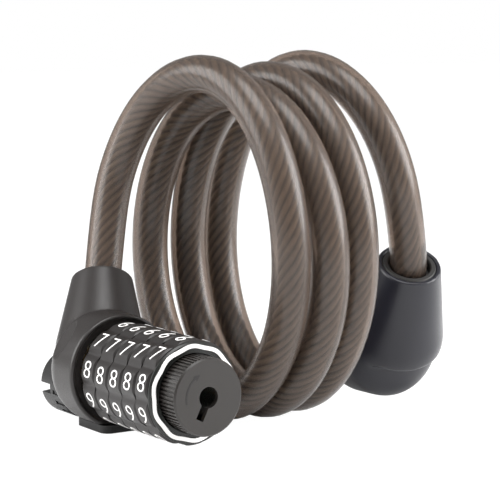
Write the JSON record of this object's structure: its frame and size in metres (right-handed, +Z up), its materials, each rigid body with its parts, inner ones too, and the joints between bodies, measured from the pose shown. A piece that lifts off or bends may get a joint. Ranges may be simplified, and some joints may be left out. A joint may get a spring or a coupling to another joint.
{
  "type": "cable lock",
  "caption": "Self-coiling combination cable lock, open: dial barrel with reset knob at one end of a coiled steel cable in a smoke jacket, end cap with the locking bolt at the other.",
  "frame": {"origin": "on the floor, under the middle of the whole lock as it lies coiled and open", "axes": "+X along the dial barrel, out of the reset knob; +Y along the axis of the coil, from the lock head to the end cap; +Z up"},
  "size_m": [0.0986, 0.1342, 0.118],
  "materials": {
    "housing_plastic": "satin",
    "cable_jacket": "glossy smoke-tinted",
    "steel_strand": "twisted strands",
    "dial_plastic": "satin",
    "bezel_plastic": "satin",
    "knob_plastic": "satin",
    "white_plastic": "matte",
    "hard_steel": "ground",
    "spring_steel": "bright",
    "brass": "turned",
    "aluminium": "crimped",
    "dark_rubber": "matte",
    "nylon": "matte"
  },
  "bodies": {
    "lock": {"bolt_carrier": "hard_steel", "bracket_cup": "housing_plastic", "bracket_shoe": "housing_plastic", "cable_core": "steel_strand", "cable_jacket_1": "cable_jacket", "cable_jacket_10": "cable_jacket", "cable_jacket_11": "cable_jacket", "cable_jacket_12": "cable_jacket", "cable_jacket_13": "cable_jacket", "cable_jacket_14": "cable_jacket", "cable_jacket_15": "cable_jacket", "cable_jacket_16": "cable_jacket", "cable_jacket_17": "cable_jacket", "cable_jacket_18": "cable_jacket", "cable_jacket_19": "cable_jacket", "cable_jacket_2": "cable_jacket", "cable_jacket_20": "cable_jacket", "cable_jacket_3": "cable_jacket", "cable_jacket_4": "cable_jacket", "cable_jacket_5": "cable_jacket", "cable_jacket_6": "cable_jacket", "cable_jacket_7": "cable_jacket", "cable_jacket_8": "cable_jacket", "cable_jacket_9": "cable_jacket", "cap_collar": "dark_rubber", "cap_cross_pin": "hard_steel", "cap_ferrule": "aluminium", "cap_gasket": "dark_rubber", "cap_liner": "nylon", "cap_shell": "housing_plastic", "detent_leaf": "spring_steel", "end_flange": "bezel_plastic", "head_collar": "dark_rubber", "head_cross_pin": "hard_steel", "head_ferrule": "aluminium", "head_housing": "housing_plastic", "locking_bolt": "hard_steel", "retaining_clip": "spring_steel", "shoe_screw": "hard_steel", "spindle": "hard_steel", "spring_washer": "spring_steel", "white_ring": "white_plastic"},
    "dial_1_body": {"dial_1": "dial_plastic", "code_ring_1": "brass"},
    "dial_2_body": {"dial_2": "dial_plastic", "code_ring_2": "brass"},
    "dial_3_body": {"dial_3": "dial_plastic", "code_ring_3": "brass"},
    "dial_4_body": {"dial_4": "dial_plastic", "code_ring_4": "brass"},
    "dial_5_body": {"dial_5": "dial_plastic", "code_ring_5": "brass"},
    "reset_knob_body": {"reset_knob": "knob_plastic", "knob_hub": "brass"}
  },
  "joints": [
    {"name": "dial_1_turn", "type": "hinge", "parent": "lock", "child": "dial_1_body", "pos_m": [0.0033, -0.04912, 0.0189], "axis": [1, 0, 0], "continuous": true},
    {"name": "dial_2_turn", "type": "hinge", "parent": "lock", "child": "dial_2_body", "pos_m": [0.01135, -0.04912, 0.0189], "axis": [1, 0, 0], "continuous": true},
    {"name": "dial_3_turn", "type": "hinge", "parent": "lock", "child": "dial_3_body", "pos_m": [0.0194, -0.04912, 0.0189], "axis": [1, 0, 0], "continuous": true},
    {"name": "dial_4_turn", "type": "hinge", "parent": "lock", "child": "dial_4_body", "pos_m": [0.02745, -0.04912, 0.0189], "axis": [1, 0, 0], "continuous": true},
    {"name": "dial_5_turn", "type": "hinge", "parent": "lock", "child": "dial_5_body", "pos_m": [0.0355, -0.04912, 0.0189], "axis": [1, 0, 0], "continuous": true},
    {"name": "reset_knob_turn", "type": "hinge", "parent": "lock", "child": "reset_knob_body", "pos_m": [0.0441, -0.04912, 0.0189], "axis": [1, 0, 0], "range_deg": [0, 90]}
  ]
}
